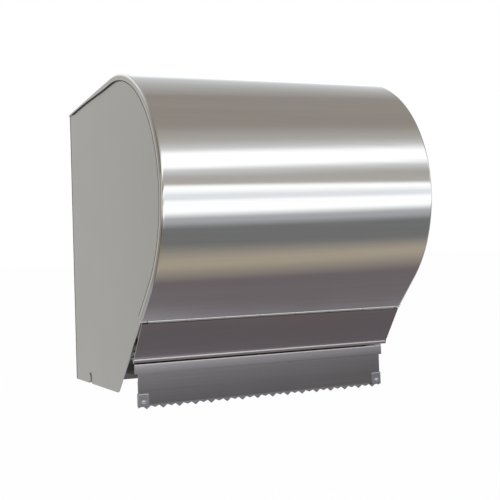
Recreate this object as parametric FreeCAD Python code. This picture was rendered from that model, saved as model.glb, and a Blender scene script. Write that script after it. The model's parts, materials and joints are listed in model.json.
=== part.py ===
import FreeCAD, Part
import math
import os

# A wall-mounted lever paper towel dispenser in stainless steel, in millimetres.
# X runs left to right, +Y points into the wall and +Z is up. The pieces are drawn with z = 0 at the
# cabinet's bottom edge, and save() lowers them so that the origin is the centre of the wall screws.
V = FreeCAD.Vector
X_AXIS = V(1, 0, 0)

# Cabinet and cover
CASE_WIDTH = 270.0
HALF = CASE_WIDTH / 2
SHEET = 1.0
BACK_SHEET = 1.2
BARREL_R = 116.0
BARREL_Y = -151.0
BARREL_Z = 178.0
SLOPE = math.radians(6.5)
CHIN = math.radians(44.5)
LIP_Z = 68.0
FLANGE = 6.0
SLOPE_FLANGE = 3.4
BEND_R = 3.0
WALL_GAP = 1.5
SIDE_GAP = 0.4
COVER_GAP = 0.8
CHEEK_OUT = HALF - SHEET - SIDE_GAP
CHEEK_IN = CHEEK_OUT - SHEET
RIM_SEAM = HALF - BEND_R
BACK_TOP = 276.0

# Wall screws
SCREW_SPACING_X = 160.0
SCREW_LOW_Z = 80.0
SCREW_HIGH_Z = 230.0
SCREW_HOLE_R = 3.25
MOUNT_HEIGHT = (SCREW_LOW_Z + SCREW_HIGH_Z) / 2

# Hinge along the cover's lip
KNUCKLE_R = 1.6
HINGE_PIN_R = 0.75
HINGE_BORE_R = 0.8
HINGE_DEPTH = 1.2
HINGE_HALF = 128.0
HINGE_KNUCKLES = 7
KNUCKLE_GAP = 0.4
EDGE_GAP = 2.0
LEAF = 0.8
LEAF_WIDTH = 14.0

# Apron below the cover
APRON_TILT = math.radians(36.0)
APRON_LENGTH = 44.0
APRON_HALF = CHEEK_IN - SHEET

# Lever
PIVOT_Y = -150.0
PIVOT_Z = 62.0
PIVOT_R = 4.0
LEVER_FRONT = -175.0
LEVER_SHEET = 1.2
LEVER_TOP = 31.0
LEVER_BEND = 3.0
BAND_HALF = 130.5
BAND_BOTTOM = 20.0
PLATE_HALF = 127.5
PLATE_BOTTOM = -7.8
TOOTH_COUNT = 16
TOOTH_PITCH = 2 * PLATE_HALF / TOOTH_COUNT
TOOTH_TIP = -12.0
TOOTH_BUMP = -10.6
TOOTH_ROOT = -9.0
BLADE = 0.8
TAB_WIDTH = 10.5
TAB_TOP = 2.5
TAB_BOTTOM = -9.4

# Feed mechanism
CHASSIS_IN = 108.0
CHASSIS_SHEET = 1.6
CHASSIS_OUT = CHASSIS_IN + CHASSIS_SHEET
GEAR_IN = 112.0
GEAR_OUT = 116.0
ARM_IN = 118.0
ARM_OUT = 120.0
GEAR_MODULE = 1.25
SECTOR_TEETH = 74
PINION_TEETH = 12
MESH_ANGLE = math.radians(-34.5)
SHAFT_R = 4.0
FIT = 0.05
CORE_R = 17.0
BAND_R = 20.0
BAND_WIDTH = 24.0
BAND_PITCH = 42.0
PRESS_R = 9.0
PRESS_SHAFT_R = 3.0
NIP_GAP = 0.3
RATCHET_TEETH = 12
RATCHET_R = 13.0
RATCHET_ROOT_R = 11.0

# Roll holder for an 8 inch roll on a 1.6 inch core
ROLL_Y = -130.0
ROLL_Z = 172.0
ARM_X = 105.0
ARM_SHEET = 2.0
HUB_R = 19.0

CENTRE_DISTANCE = GEAR_MODULE * (SECTOR_TEETH - PINION_TEETH) / 2
FEED_Y = PIVOT_Y + CENTRE_DISTANCE * math.cos(MESH_ANGLE)
FEED_Z = PIVOT_Z + CENTRE_DISTANCE * math.sin(MESH_ANGLE)
PRESS_Y = FEED_Y - BAND_R - PRESS_R - NIP_GAP
PRESS_Z = FEED_Z


def save(name, shape):
    """Moves a piece from cabinet heights to the screw centre and writes it."""
    shape = shape.copy()
    shape.translate(V(0, 0, -MOUNT_HEIGHT))
    shape.exportStep("parts/" + name + ".step")
    print(name, len(shape.Solids), shape.isValid(), round(shape.Volume, 1))


def box(x0, x1, y0, y1, z0, z1):
    return Part.makeBox(x1 - x0, y1 - y0, z1 - z0, V(x0, y0, z0))


def rod(y, z, r, x0, x1):
    """A round bar along X."""
    return Part.makeCylinder(r, x1 - x0, V(x0, y, z), X_AXIS)


def tube(y, z, r_out, r_in, x0, x1):
    return rod(y, z, r_out, x0, x1).cut(rod(y, z, r_in, x0 - 1, x1 + 1))


def prism(edges, x0, x1):
    """Carries a closed outline, drawn in the YZ plane, from x0 to x1."""
    face = Part.Face(Part.Wire(edges))
    face.translate(V(x0, 0, 0))
    return face.extrude(V(x1 - x0, 0, 0))


def plate(points, x0, x1):
    """A flat plate from x0 to x1 with straight sides through (y, z) points."""
    loop = [V(0, y, z) for y, z in points]
    loop.append(loop[0])
    return prism(Part.makePolygon(loop).Edges, x0, x1)


def mirrored(shape):
    return shape.mirror(V(0, 0, 0), X_AXIS)


def both(shape):
    """The same piece on the right and on the left, as two solids."""
    return Part.makeCompound([shape, mirrored(shape)])


def fused(first, *others):
    return first.multiFuse(list(others)).removeSplitter()


def polar(y, z, radius, angle):
    """A point at an angle from +Y towards +Z."""
    return (y + radius * math.cos(angle), z + radius * math.sin(angle))


# The cover's side profile is a back slope, a round barrel and a straight chin that ends at the lip.
SLOPE_OUT = (math.sin(SLOPE), math.cos(SLOPE))
CHIN_OUT = (-math.cos(CHIN), -math.sin(CHIN))
CHIN_DOWN = (math.sin(CHIN), -math.cos(CHIN))
CHIN_START = (BARREL_Y + BARREL_R * CHIN_OUT[0], BARREL_Z + BARREL_R * CHIN_OUT[1])
CHIN_LENGTH = (CHIN_START[1] - LIP_Z) / math.cos(CHIN)
APRON_OUT = (-math.cos(APRON_TILT), -math.sin(APRON_TILT))
APRON_DOWN = (math.sin(APRON_TILT), -math.cos(APRON_TILT))


def chin_point(along, depth):
    """A point on the chin, along it from its tangent with the barrel and in from its outer face."""
    return (CHIN_START[0] + CHIN_DOWN[0] * along - CHIN_OUT[0] * depth,
            CHIN_START[1] + CHIN_DOWN[1] * along - CHIN_OUT[1] * depth)


HINGE_Y, HINGE_Z = chin_point(CHIN_LENGTH, HINGE_DEPTH)


def apron_point(along, depth):
    """A point on the apron, down it from the hinge and in from its outer face."""
    return (HINGE_Y + APRON_DOWN[0] * along - APRON_OUT[0] * (depth - HINGE_DEPTH),
            HINGE_Z + APRON_DOWN[1] * along - APRON_OUT[1] * (depth - HINGE_DEPTH))


def slope_point(y, depth):
    """A point under the back slope, at depth below the outer face at y."""
    top_z = BARREL_Z + (BARREL_R - (y - BARREL_Y) * SLOPE_OUT[0]) / SLOPE_OUT[1]
    return (y - SLOPE_OUT[0] * depth, top_z - SLOPE_OUT[1] * depth)


def profile(offset, back_y, chin_end, close_z):
    """The edges of the closed side profile, drawn in by offset from the cover's outer face."""
    r = BARREL_R - offset
    start = V(0, BARREL_Y + r * SLOPE_OUT[0], BARREL_Z + r * SLOPE_OUT[1])
    middle = V(0, BARREL_Y - r, BARREL_Z)
    end = V(0, BARREL_Y + r * CHIN_OUT[0], BARREL_Z + r * CHIN_OUT[1])
    rear_z = start.z - (back_y - start.y) * math.tan(SLOPE)
    rear = V(0, back_y, rear_z)
    foot = V(0, end.y + CHIN_DOWN[0] * chin_end, end.z + CHIN_DOWN[1] * chin_end)
    floor = V(0, foot.y, close_z)
    corner = V(0, back_y, close_z)
    edges = [Part.LineSegment(rear, start).toShape(), Part.Arc(start, middle, end).toShape(),
             Part.LineSegment(end, foot).toShape()]
    loop = [foot, corner, rear] if abs(foot.z - close_z) < 1e-6 else [foot, floor, corner, rear]
    for a, b in zip(loop, loop[1:]):
        edges.append(Part.LineSegment(a, b).toShape())
    return edges


def rounded_profile(offset, half, radius, reach):
    """The profile carried across the width, with its long edges rounded."""
    solid = prism(profile(offset, reach, CHIN_LENGTH + reach, -reach), -half, half)
    edges = []
    for edge in solid.Edges:
        middle = edge.valueAt((edge.FirstParameter + edge.LastParameter) / 2)
        on_side = abs(abs(middle.x) - half) < 1e-6
        if on_side and middle.y < reach - 1 and middle.z > 0 and middle.z > 20 - reach:
            edges.append(edge)
    return solid.makeFillet(radius, edges)


def bent_cover():
    """The whole cover: one skin with rounded long edges and narrow side flanges."""
    reach = 40.0
    shell = rounded_profile(0, HALF, BEND_R, reach).cut(
        rounded_profile(SHEET, HALF - SHEET, BEND_R - SHEET, reach + 10))
    shell = shell.cut(prism(profile(FLANGE, reach + 20, CHIN_LENGTH + reach + 20, -reach - 20), -200, 200))
    slope_cut = [slope_point(60, SLOPE_FLANGE), slope_point(-95, SLOPE_FLANGE),
                 slope_point(-103, FLANGE + 2), slope_point(60, FLANGE + 12)]
    shell = shell.cut(plate(slope_cut, -200, 200))
    shell = shell.cut(box(-200, 200, -WALL_GAP, 200, -200, 400))
    below_lip = [chin_point(CHIN_LENGTH - EDGE_GAP, -150), chin_point(CHIN_LENGTH - EDGE_GAP, 150),
                 chin_point(CHIN_LENGTH + 300, 150), chin_point(CHIN_LENGTH + 300, -150)]
    shell = shell.cut(plate(below_lip, -200, 200))
    # The lip is folded back on itself as a safe edge, inside the side flanges
    hem = plate([chin_point(CHIN_LENGTH - EDGE_GAP, SHEET - 0.2), chin_point(CHIN_LENGTH - EDGE_GAP, 2 * SHEET),
                 chin_point(CHIN_LENGTH - 12, 2 * SHEET), chin_point(CHIN_LENGTH - 12, SHEET - 0.2)],
                -RIM_SEAM, RIM_SEAM)
    # Relief cuts let the side flanges follow the bend
    for angle in (math.radians(150), math.radians(98)):
        y0, z0 = polar(BARREL_Y, BARREL_Z, BARREL_R - FLANGE - 1, angle)
        notch = Part.makeCylinder(1.6, 2 * CASE_WIDTH, V(-CASE_WIDTH, y0, z0), X_AXIS)
        shell = shell.cut(notch)
    y0, z0 = slope_point(-24, SLOPE_FLANGE + 0.4)
    shell = shell.cut(Part.makeCylinder(1.4, 2 * CASE_WIDTH, V(-CASE_WIDTH, y0, z0), X_AXIS))
    lock_hole = lock_cylinder(LOCK_BODY_R + FIT, -10, 10)
    return fused(shell, hem).cut(lock_hole)


def cover_wrap():
    """The cover's middle sheet, between the seams of its side rims."""
    return bent_cover().common(box(-RIM_SEAM, RIM_SEAM, -300, 50, -50, 400))


def cover_rim():
    """The right side rim, welded along the wrap: the rounded edge and the flange beside the cheek."""
    return bent_cover().common(box(RIM_SEAM, HALF + 1, -300, 50, -50, 400))


# Cam lock on the back slope
LOCK_Y = -30.0
LOCK_BODY_R = 9.5
LOCK_PLUG_R = 6.0
LOCK_HEAD_R = 11.5
LOCK_DEPTH = 16.0


def lock_cylinder(radius, depth_from, depth_to):
    y, z = slope_point(LOCK_Y, depth_to)
    return Part.makeCylinder(radius, depth_to - depth_from, V(0, y, z), V(0, SLOPE_OUT[0], SLOPE_OUT[1]))


def lock_body():
    body = fused(lock_cylinder(LOCK_BODY_R, 0, LOCK_DEPTH), lock_cylinder(LOCK_HEAD_R, -1.6, 0))
    return body.cut(lock_cylinder(LOCK_PLUG_R + FIT, -5, LOCK_DEPTH + 5))


def lock_nut():
    """A hexagon nut on the lock's thread, under the sheet."""
    across = 13.0
    y, z = slope_point(LOCK_Y, SHEET)
    base = V(0, y, z)
    down = V(0, -SLOPE_OUT[0], -SLOPE_OUT[1])
    ahead = V(0, SLOPE_OUT[1], -SLOPE_OUT[0])
    corners = []
    for k in range(6):
        turn = math.radians(60 * k)
        corners.append(base + X_AXIS * (across * math.cos(turn)) + ahead * (across * math.sin(turn)))
    corners.append(corners[0])
    nut = Part.Face(Part.makePolygon(corners)).extrude(down * 3.0)
    return nut.cut(lock_cylinder(LOCK_BODY_R + FIT, -5, 20))


def lock_plug():
    plug = lock_cylinder(LOCK_PLUG_R, -1.2, LOCK_DEPTH + 1.5)
    y, z = slope_point(LOCK_Y, 3)
    key = box(-0.9, 0.9, -3.6, 3.6, 0, 12)
    key.rotate(V(0, 0, 0), X_AXIS, -math.degrees(SLOPE))
    key.translate(V(0, y, z))
    return plug.cut(key)


def lock_cam():
    """The cam points along X when the lock is open."""
    depth = LOCK_DEPTH + 1.5
    cam = box(-7, 24, -6, 6, -2, 0).fuse(Part.makeCylinder(7, 2, V(0, 0, -2)))
    cam.rotate(V(0, 0, 0), X_AXIS, -math.degrees(SLOPE))
    y, z = slope_point(LOCK_Y, depth)
    cam.translate(V(0, y, z))
    return cam.removeSplitter()


def lock_strike():
    """A hooked bracket on the wall plate that the cam turns under."""
    y, z = slope_point(LOCK_Y, LOCK_DEPTH + 1.5)
    lip_z = z - 24 * math.sin(SLOPE) + 2.6
    leaf = box(-16, 16, -BACK_SHEET - 1.5, -BACK_SHEET, lip_z - 26, lip_z + 1.5)
    lip = box(-16, 16, -14, -BACK_SHEET, lip_z, lip_z + 1.5)
    return fused(leaf, lip)


def knuckles(first):
    """Every other hinge knuckle, from the first, as tubes along the hinge line."""
    length = 2 * HINGE_HALF / HINGE_KNUCKLES
    rods = []
    for k in range(first, HINGE_KNUCKLES, 2):
        x0 = -HINGE_HALF + k * length + KNUCKLE_GAP / 2
        rods.append((x0, x0 + length - KNUCKLE_GAP))
    return rods


def hinge_leaf(point, reach, first, knuckle_end):
    """A leaf under the sheet, with strips that run to its own knuckles."""
    inner = 2 * SHEET
    edge = reach(EDGE_GAP)
    leaf = plate([point(edge, inner), point(edge, inner + LEAF),
                  point(reach(LEAF_WIDTH), inner + LEAF), point(reach(LEAF_WIDTH), inner)],
                 -HINGE_HALF, HINGE_HALF)
    bodies = []
    for x0, x1 in knuckles(first):
        strip = plate([point(edge, inner), point(edge, inner + LEAF), point(knuckle_end, inner + LEAF),
                       point(knuckle_end, inner)], x0, x1)
        bodies.append(strip)
        bodies.append(rod(HINGE_Y, HINGE_Z, KNUCKLE_R, x0, x1))
    bore = rod(HINGE_Y, HINGE_Z, HINGE_BORE_R, -HINGE_HALF - 5, HINGE_HALF + 5)
    return fused(leaf, *bodies).cut(bore)


def cover_hinge_leaf():
    return hinge_leaf(chin_point, lambda d: CHIN_LENGTH - d, 0, CHIN_LENGTH)


def apron_hinge_leaf():
    return hinge_leaf(apron_point, lambda d: d, 1, 0.0)


def hinge_pin():
    return rod(HINGE_Y, HINGE_Z, HINGE_PIN_R, -HINGE_HALF, HINGE_HALF)


def front_apron():
    """The fixed sloping strip: a sheet with a folded lower edge and a weld tab at each end."""
    sheet = plate([apron_point(EDGE_GAP, 0), apron_point(EDGE_GAP, SHEET),
                   apron_point(APRON_LENGTH, SHEET), apron_point(APRON_LENGTH, 0)], -APRON_HALF, APRON_HALF)
    fold = plate([apron_point(APRON_LENGTH - 9, SHEET), apron_point(APRON_LENGTH - 9, 2 * SHEET),
                  apron_point(APRON_LENGTH, 2 * SHEET), apron_point(APRON_LENGTH, SHEET)],
                 -APRON_HALF, APRON_HALF)
    edge_y, edge_z = apron_point(APRON_LENGTH, SHEET)
    edge = rod(edge_y, edge_z, SHEET, -APRON_HALF, APRON_HALF)
    ply = plate([apron_point(EDGE_GAP, SHEET), apron_point(EDGE_GAP, 2 * SHEET),
                 apron_point(20, 2 * SHEET), apron_point(20, SHEET)], -APRON_HALF, APRON_HALF)
    tab = plate([apron_point(4, 0.6), apron_point(4, 16), apron_point(20, 16), apron_point(20, 0.6)],
                APRON_HALF - 1, CHEEK_IN)
    return fused(sheet, fold, edge, ply, tab, mirrored(tab))


def back_plate():
    sheet = box(-CHEEK_OUT, CHEEK_OUT, -BACK_SHEET, 0, 0, BACK_TOP)
    top = box(-118, 118, -12, 0, BACK_TOP - BACK_SHEET, BACK_TOP)
    body = fused(sheet, top)
    for x in (-SCREW_SPACING_X / 2, SCREW_SPACING_X / 2):
        for z in (SCREW_LOW_Z, SCREW_HIGH_Z):
            body = body.cut(Part.makeCylinder(SCREW_HOLE_R, 20, V(x, 5, z), V(0, -1, 0)))
    return body.cut(chassis_screw_holes())


def cheek():
    """The right cheek: a flat sheet inside the cover's flange, with a flange on the wall plate."""
    offset = SHEET + COVER_GAP
    corner_r = 5.0
    slot_y = -49.0
    slot_half = 4.4
    slot_top = 11.6
    rear_flange = 14.0
    chin_end = (BARREL_Z + (BARREL_R - offset) * CHIN_OUT[1]) / math.cos(CHIN)
    outline = profile(offset, -BACK_SHEET, chin_end, 0.0)
    sheet = prism(outline, CHEEK_IN, CHEEK_OUT)
    corners = []
    for e in sheet.Edges:
        middle = e.valueAt((e.FirstParameter + e.LastParameter) / 2)
        along_x = abs(e.Vertexes[0].X - e.Vertexes[-1].X) > SHEET / 2
        if along_x and middle.z < 1 and middle.y < -100:
            corners.append(e)
    sheet = sheet.makeFillet(corner_r, corners)
    flange = box(CHEEK_OUT - rear_flange, CHEEK_OUT, -BACK_SHEET - SHEET, -BACK_SHEET, 0, BACK_TOP - 2)
    body = fused(sheet, flange)
    rear = [e for e in body.Edges if is_vertical_at(e, CHEEK_OUT, -BACK_SHEET)]
    body = body.makeFillet(1.8, rear)
    notch = box(CHEEK_IN - 1, CHEEK_OUT + 1, slot_y - slot_half, slot_y + slot_half, -1, slot_top - slot_half)
    notch = notch.fuse(rod(slot_y, slot_top - slot_half, slot_half, CHEEK_IN - 1, CHEEK_OUT + 1))
    return body.cut(notch)


def is_vertical_at(edge, x, y):
    ends = edge.Vertexes
    same = all(abs(v.X - x) < 1e-6 and abs(v.Y - y) < 1e-6 for v in ends)
    return same and len(ends) == 2 and abs(ends[0].Z - ends[1].Z) > 100


def bottom_cross_rail():
    """A shallow angle under the chassis whose ends show in the cheeks' notches."""
    web = box(-CHEEK_IN, CHEEK_IN, -49.6, -48, 1.0, 12.0)
    shelf = box(-CHEEK_IN + 2, CHEEK_IN - 2, -72, -48, 10.8, 12.0)
    tab = box(CHEEK_IN - 1, CHEEK_OUT + 0.6, -49.6, -48, 1.0, 10.4)
    return fused(web, shelf, tab, mirrored(tab))


# Chassis plates that carry the lever and the rollers
SLOT_BACK = -141.0
SLOT_FRONT = -163.0
BLOCK_HALF_Z = 5.0
BLOCK_HALF_Y = 5.6
STOP_Y = -139.4
STOP_Z = 79.0
STOP_R = 4.0
PAWL_REST = math.radians(50)
PAWL_X0 = 113.0
PAWL_X1 = 116.0
PAWL_REACH = 20.0
PAWL_TIP_R = 13.3
COIL_R = 5.8
SPRING_WIRE_R = 0.55
SPRING_LEG = 14.0
SCREW_X = 113.5
CHASSIS_SCREW_Z = (26.0, 80.0)


def pawl_pivot():
    tip_y, tip_z = polar(FEED_Y, FEED_Z, PAWL_TIP_R, PAWL_REST)
    return (tip_y + PAWL_REACH * math.sin(PAWL_REST), tip_z - PAWL_REACH * math.cos(PAWL_REST))


def chassis_screw_holes():
    holes = []
    for x in (-SCREW_X, SCREW_X):
        for z in CHASSIS_SCREW_Z:
            holes.append(Part.makeCylinder(2.0, 20, V(x, 5, z), V(0, -1, 0)))
    return Part.makeCompound(holes)


def chassis_plate():
    outline = [(-BACK_SHEET, 12), (-BACK_SHEET, 92), (-60, 92), (-160, 88), (-166, 82), (-166, 31.5),
               (-141, 31.5), (-137, 12)]
    body = plate(outline, CHASSIS_IN, CHASSIS_OUT)
    body = body.fuse(box(CHASSIS_IN, 118.5, -BACK_SHEET - 1.6, -BACK_SHEET, 12, 92))
    body = body.cut(box(CHASSIS_IN - 1, CHASSIS_OUT + 1, SLOT_FRONT, SLOT_BACK,
                        PRESS_Z - BLOCK_HALF_Z - FIT, PRESS_Z + BLOCK_HALF_Z + FIT))
    body = body.cut(rod(FEED_Y, FEED_Z, 6.0, CHASSIS_IN - 1, CHASSIS_OUT + 1))
    body = body.cut(chassis_screw_holes())
    # A large window lightens the plate behind the rollers
    window = box(CHASSIS_IN - 1, CHASSIS_OUT + 1, -78, -22, 30, 76)
    edges = [e for e in window.Edges if abs(e.Vertexes[0].X - e.Vertexes[-1].X) > 1]
    return body.cut(window.makeFillet(8, edges)).removeSplitter()


def chassis_screws():
    solids = []
    for x in (-SCREW_X, SCREW_X):
        for z in CHASSIS_SCREW_Z:
            head_y = -BACK_SHEET - 1.6
            head = Part.makeCylinder(3.6, 2.2, V(x, head_y, z), V(0, -1, 0))
            shank = Part.makeCylinder(1.95, -head_y - 0.2, V(x, head_y, z), V(0, 1, 0))
            drive = box(x - 2.4, x + 2.4, head_y - 3, head_y - 1.3, z - 0.5, z + 0.5)
            solids.append(head.fuse(shank).cut(drive).removeSplitter())
    return Part.makeCompound(solids)


def towel_guide():
    """A curved sheet under the feed roller that strips the towel off it and turns it down."""
    inner, outer = BAND_R + 2.5, BAND_R + 3.5
    start, end = math.radians(-128), math.radians(-15)
    middle = (start + end) / 2
    points = []
    for radius, angle in ((inner, start), (inner, middle), (inner, end), (outer, end), (outer, middle),
                          (outer, start)):
        y, z = polar(FEED_Y, FEED_Z, radius, angle)
        points.append(V(0, y, z))
    edges = [Part.Arc(points[0], points[1], points[2]).toShape(),
             Part.LineSegment(points[2], points[3]).toShape(),
             Part.Arc(points[3], points[4], points[5]).toShape(),
             Part.LineSegment(points[5], points[0]).toShape()]
    curved = prism(edges, -CHASSIS_IN, CHASSIS_IN)
    top_y, top_z = polar(FEED_Y, FEED_Z, inner + 0.5, start)
    apron = plate([(top_y - 0.6, top_z), (top_y + 0.6, top_z), (top_y - 2.4, 5), (top_y - 3.6, 5)],
                  -CHASSIS_IN, CHASSIS_IN)
    return fused(curved, apron)


def shaft_bushings():
    bush = tube(FEED_Y, FEED_Z, 6.0, SHAFT_R + FIT, CHASSIS_IN, CHASSIS_OUT + 1.2)
    flange = tube(FEED_Y, FEED_Z, 8.5, SHAFT_R + FIT, CHASSIS_IN - 1.4, CHASSIS_IN)
    return both(fused(bush, flange))


def lever_pivot_studs():
    stud = fused(rod(PIVOT_Y, PIVOT_Z, PIVOT_R, CHASSIS_OUT, ARM_OUT + 0.4),
                 rod(PIVOT_Y, PIVOT_Z, 6.5, ARM_OUT + 0.4, ARM_OUT + 2.4))
    return both(stud)


def lever_stops():
    stop = rod(STOP_Y, STOP_Z, STOP_R, CHASSIS_OUT, ARM_OUT + 1)
    return both(stop)


def pawl_stud():
    y, z = pawl_pivot()
    stud = fused(rod(y, z, 2.5, CHASSIS_OUT, PAWL_X1 + 0.4), rod(y, z, 4.0, PAWL_X1 + 0.4, PAWL_X1 + 1.8))
    return mirrored(stud)


# Lever
def lever_plate():
    inner = LEVER_BEND - LEVER_SHEET
    centre_y, centre_z = LEVER_FRONT + LEVER_BEND, LEVER_TOP - LEVER_BEND
    back = LEVER_FRONT + LEVER_SHEET
    flange_end = -162.5

    def arc(radius):
        points = [polar(centre_y, centre_z, radius, math.radians(a)) for a in (180, 135, 90)]
        return Part.Arc(*[V(0, y, z) for y, z in points]).toShape()

    corners = [(centre_y, LEVER_TOP), (flange_end, LEVER_TOP), (flange_end, LEVER_TOP - LEVER_SHEET),
               (centre_y, LEVER_TOP - LEVER_SHEET)]
    feet = [(back, centre_z), (back, PLATE_BOTTOM), (LEVER_FRONT, PLATE_BOTTOM), (LEVER_FRONT, centre_z)]
    edges = [arc(LEVER_BEND), arc(inner)]
    for run in (corners, feet):
        for a, b in zip(run, run[1:]):
            edges.append(Part.LineSegment(V(0, a[0], a[1]), V(0, b[0], b[1])).toShape())
    body = prism(Part.__sortEdges__(edges), -BAND_HALF, BAND_HALF)
    for sign in (-1, 1):
        step = box(PLATE_HALF, 200, -200, -100, -100, BAND_BOTTOM)
        relief = box(106, 123, LEVER_FRONT + LEVER_BEND, -100, LEVER_TOP - 5, LEVER_TOP + 5)
        cutters = step.fuse(relief)
        body = body.cut(cutters if sign > 0 else mirrored(cutters))
    return body.removeSplitter()


def tooth_edge():
    """The serrated edge from left to right: long points with a small one between each two."""
    points = [(-PLATE_HALF, TOOTH_BUMP)]
    valley = TOOTH_PITCH / 4
    for k in range(TOOTH_COUNT):
        x = -PLATE_HALF + k * TOOTH_PITCH
        points.append((x + valley, TOOTH_ROOT))
        points.append((x + TOOTH_PITCH / 2, TOOTH_TIP))
        points.append((x + TOOTH_PITCH - valley, TOOTH_ROOT))
        points.append((x + TOOTH_PITCH, TOOTH_BUMP))
    return points


def tear_blade():
    y0 = LEVER_FRONT + LEVER_SHEET
    outline = tooth_edge() + [(PLATE_HALF, 14), (-PLATE_HALF, 14)]
    loop = [V(x, y0, z) for x, z in outline]
    loop.append(loop[0])
    blade = Part.Face(Part.makePolygon(loop)).extrude(V(0, BLADE, 0))
    wrap = box(PLATE_HALF, PLATE_HALF + BLADE, LEVER_FRONT - BLADE, y0 + BLADE, TAB_BOTTOM, TAB_TOP)
    tab = box(PLATE_HALF + BLADE - TAB_WIDTH, PLATE_HALF + BLADE, LEVER_FRONT - BLADE, LEVER_FRONT,
              TAB_BOTTOM, TAB_TOP)
    edges = [e for e in tab.Edges if abs(e.Vertexes[0].Y - e.Vertexes[-1].Y) > BLADE / 2]
    tab = tab.makeFillet(1.2, [e for e in edges if e.Vertexes[0].X < PLATE_HALF])
    dimple = Part.makeSphere(3.0, V(PLATE_HALF + BLADE - TAB_WIDTH / 2, LEVER_FRONT - BLADE - 2.4,
                                    (TAB_TOP + TAB_BOTTOM) / 2))
    clip = wrap.fuse(tab).cut(dimple)
    return fused(blade, clip, mirrored(clip))


def lever_arm():
    """A side arm: a pivot eye, a nose for the stop and a foot riveted to the lever plate."""
    back = LEVER_FRONT + LEVER_SHEET
    eye_r = 11.0
    web = plate([(back, 27.9), (back, 15), (-168, 15), (PIVOT_Y + 5, PIVOT_Z - 9.8),
                 (PIVOT_Y - 9.5, PIVOT_Z + 5.5), (-171.8, 33), (-171.8, 27.9)], ARM_IN, ARM_OUT)
    nose = plate([(PIVOT_Y - 6, PIVOT_Z + 4), (PIVOT_Y + 6, PIVOT_Z + 4), (PIVOT_Y + 6, PIVOT_Z + 21),
                  (PIVOT_Y - 2, PIVOT_Z + 21)], ARM_IN, ARM_OUT)
    eye = rod(PIVOT_Y, PIVOT_Z, eye_r, ARM_IN, ARM_OUT)
    foot = box(ARM_IN - 11, ARM_OUT, back, back + ARM_SHEET, 15, 28)
    return fused(web, nose, eye, foot).cut(rod(PIVOT_Y, PIVOT_Z, PIVOT_R + FIT, 0, 200))


def involute_teeth(teeth, module, tip_r, root_r, thin, turn, first, count):
    """Gear teeth as closed outlines: involute flanks from the base circle, root to tip."""
    pitch_r = teeth * module / 2
    base_r = pitch_r * math.cos(math.radians(20))
    inv_pitch = math.tan(math.radians(20)) - math.radians(20)
    half = math.pi / (2 * teeth) - thin / pitch_r
    outlines = []
    for k in range(first, first + count):
        middle = turn + 2 * math.pi * k / teeth
        flank = []
        for step in range(5):
            radius = root_r + (tip_r - root_r) * step / 4
            press = math.acos(min(1.0, base_r / max(radius, base_r)))
            flank.append((radius, half + inv_pitch - (math.tan(press) - press)))
        right = [(r, middle - a) for r, a in flank]
        left = [(r, middle + a) for r, a in reversed(flank)]
        outlines.append(right + left)
    return outlines


def teeth_solid(centre_y, centre_z, outlines, x0, x1, dip):
    solids = []
    for outline in outlines:
        first_r, first_a = outline[0]
        last_r, last_a = outline[-1]
        ring = [(first_r - dip, first_a)] + outline + [(last_r - dip, last_a)]
        solids.append(plate([polar(centre_y, centre_z, r, a) for r, a in ring], x0, x1))
    return solids


def sector_gear():
    """A window plate on the right arm whose outer rim has teeth that face the pivot."""
    pitch_r = GEAR_MODULE * SECTOR_TEETH / 2
    inner_r = pitch_r - 0.9 * GEAR_MODULE
    window_in = CENTRE_DISTANCE - 10.4
    rim_r = pitch_r + 6.5
    window = (math.radians(-77.5), math.radians(-18.0))
    outer = (math.radians(-86.0), math.radians(-9.5))

    def fan(r0, r1, limits):
        a, b = limits
        m = (a + b) / 2
        p = [V(0, *polar(PIVOT_Y, PIVOT_Z, r, t)) for r, t in ((r0, a), (r0, m), (r0, b), (r1, b), (r1, m),
                                                              (r1, a))]
        return prism([Part.Arc(p[0], p[1], p[2]).toShape(), Part.LineSegment(p[2], p[3]).toShape(),
                      Part.Arc(p[3], p[4], p[5]).toShape(), Part.LineSegment(p[5], p[0]).toShape()],
                     GEAR_IN, GEAR_OUT)

    body = fused(fan(6.0, rim_r, outer), rod(PIVOT_Y, PIVOT_Z, 11, GEAR_IN, ARM_IN))
    body = body.cut(fan(window_in, inner_r, window))
    step = 2 * math.pi / SECTOR_TEETH
    first = int(math.ceil((window[0] - MESH_ANGLE) / step)) + 1
    last = int(math.floor((window[1] - MESH_ANGLE) / step)) - 1
    spaces = involute_teeth(SECTOR_TEETH, GEAR_MODULE, pitch_r + 1.2 * GEAR_MODULE, inner_r, 0.0, MESH_ANGLE,
                            first, last - first + 1)
    body = body.cut(Part.makeCompound(teeth_solid(PIVOT_Y, PIVOT_Z, spaces, GEAR_IN - 1, GEAR_OUT + 1, 0.8)))
    return body.cut(rod(PIVOT_Y, PIVOT_Z, PIVOT_R + FIT, 0, 200))


def drive_pinion():
    pitch_r = GEAR_MODULE * PINION_TEETH / 2
    root_r = pitch_r - 1.15 * GEAR_MODULE
    teeth = involute_teeth(PINION_TEETH, GEAR_MODULE, pitch_r + 0.85 * GEAR_MODULE, root_r, 0.1, MESH_ANGLE, 0,
                           PINION_TEETH)
    solids = teeth_solid(FEED_Y, FEED_Z, teeth, GEAR_IN, GEAR_OUT, 0.6)
    body = fused(rod(FEED_Y, FEED_Z, root_r, GEAR_IN, GEAR_OUT), *solids)
    body = fused(body, rod(FEED_Y, FEED_Z, root_r, GEAR_OUT, GEAR_OUT + 3))
    return body.cut(rod(FEED_Y, FEED_Z, SHAFT_R + 0.9, 0, 200))


def clutch_sleeve():
    """The one-way clutch pressed into the pinion."""
    return tube(FEED_Y, FEED_Z, SHAFT_R + 0.9, SHAFT_R + FIT, GEAR_IN, GEAR_OUT + 3)


def feed_shaft():
    return rod(FEED_Y, FEED_Z, SHAFT_R, -120.5, 121.0)


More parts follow.
